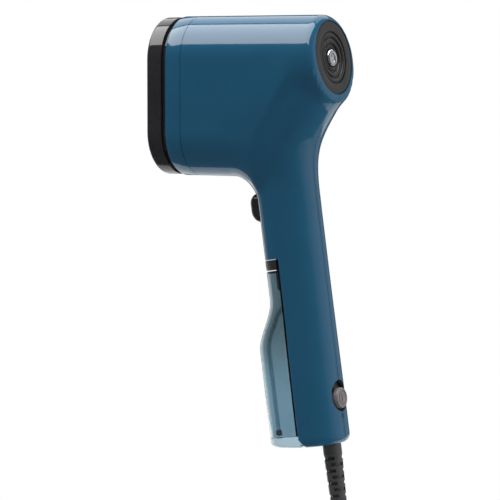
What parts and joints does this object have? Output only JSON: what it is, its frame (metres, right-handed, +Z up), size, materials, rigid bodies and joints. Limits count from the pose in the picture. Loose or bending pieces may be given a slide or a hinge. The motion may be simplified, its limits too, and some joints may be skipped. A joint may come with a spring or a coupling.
{
  "type": "garment steamer",
  "caption": "Hand-held garment steamer: level steam head on a leaning handle, with removable water tank, steam button, slide switch and cord with plug.",
  "frame": {"origin": "middle of the grip, on the handle's axis, where a hand or a cradle holds the steamer", "axes": "steam face towards -X; +Y across the head; +Z up, the handle leaning back 8 degrees from it"},
  "size_m": [0.1443, 0.115, 0.5122],
  "materials": {
    "casing_blue": "glossy petrol blue moulding",
    "black_gloss": "polished black moulding",
    "dark_plastic": "fine satin dark grey",
    "knob_grey": "satin warm grey",
    "chrome": "polished",
    "plate_metal": "satin, anodised",
    "cast_metal": "die cast",
    "steel": "plain wire and sheet",
    "tank_tint": "clear blue-grey plastic",
    "white_plastic": "natural white moulding",
    "silicone": "translucent silicone",
    "board_green": "lacquered circuit board",
    "copper": "lacquered winding",
    "cord_black": "matte sheath",
    "brass": "plain"
  },
  "bodies": {
    "body": {"casing_left": "casing_blue", "casing_right": "casing_blue", "front_collar": "casing_blue", "front_bezel": "black_gloss", "rear_cap": "dark_plastic", "rear_stud": "chrome", "steam_plate": "plate_metal", "plate_gasket": "silicone", "heat_shield": "dark_plastic", "steam_chamber": "cast_metal", "steam_inlet": "brass", "heating_element": "steel", "thermostat": "steel", "thermal_fuse": "steel", "pump_body": "white_plastic", "pump_coil": "copper", "feed_tube": "silicone", "suction_tube": "silicone", "element_wire_left": "silicone", "element_wire_right": "silicone", "micro_switch": "dark_plastic", "button_spring": "steel", "switch_well": "dark_plastic", "slide_switch": "dark_plastic", "inner_frame": "white_plastic", "casing_screw_left_upper": "steel", "casing_screw_left_lower": "steel", "casing_screw_right_upper": "steel", "casing_screw_right_lower": "steel", "control_board": "board_green", "relay": "white_plastic", "strain_relief": "cord_black", "inner_cord": "cord_black", "cord_clamp": "dark_plastic", "tank_seat": "dark_plastic", "latch_spring_left": "steel", "latch_spring_right": "steel", "water_inlet": "dark_plastic", "inlet_seal": "silicone", "power_cord": "cord_black", "cord_coil": "cord_black", "cord_tail": "cord_black", "cord_tie": "cord_black", "plug_body": "cord_black", "plug_pin_left": "brass", "plug_pin_right": "brass"},
    "steam_button": {"steam_button": "black_gloss", "switch_plunger": "white_plastic"},
    "power_knob": {"power_knob": "knob_grey"},
    "tank_latch": {"tank_latch": "dark_plastic"},
    "tank": {"tank_body": "tank_tint", "tank_base": "tank_tint", "tank_cap": "dark_plastic", "valve_spring": "steel", "valve_retainer": "dark_plastic", "pickup_tube": "silicone", "pickup_filter": "dark_plastic"},
    "tank_valve": {"tank_valve": "white_plastic"}
  },
  "joints": [
    {"name": "button_press", "type": "slide", "parent": "body", "child": "steam_button", "axis": [0.9903, 0, 0.1392], "range_m": [0, 0.003], "stiffness_N_per_m": 300, "springref_m": -0.001, "deforming": ["button_spring"]},
    {"name": "power_slide", "type": "slide", "parent": "body", "child": "power_knob", "axis": [-0.1392, 0, 0.9903], "range_m": [0, 0.003]},
    {"name": "latch_press", "type": "slide", "parent": "body", "child": "tank_latch", "axis": [0.9903, 0, 0.1392], "range_m": [0, 0.0015], "stiffness_N_per_m": 400, "springref_m": -0.001, "deforming": ["latch_spring_left", "latch_spring_right"]},
    {"name": "tank_slide", "type": "slide", "parent": "body", "child": "tank", "axis": [0.1392, 0, -0.9903], "range_m": [0, 0.112]},
    {"name": "valve_slide", "type": "slide", "parent": "tank", "child": "tank_valve", "axis": [-0.1392, 0, 0.9903], "range_m": [0, 0.0018], "deforming": ["valve_spring"]}
  ],
  "couplings": [
    {"joint": "valve_slide", "follows": "tank_slide", "ratio": 0.016}
  ]
}
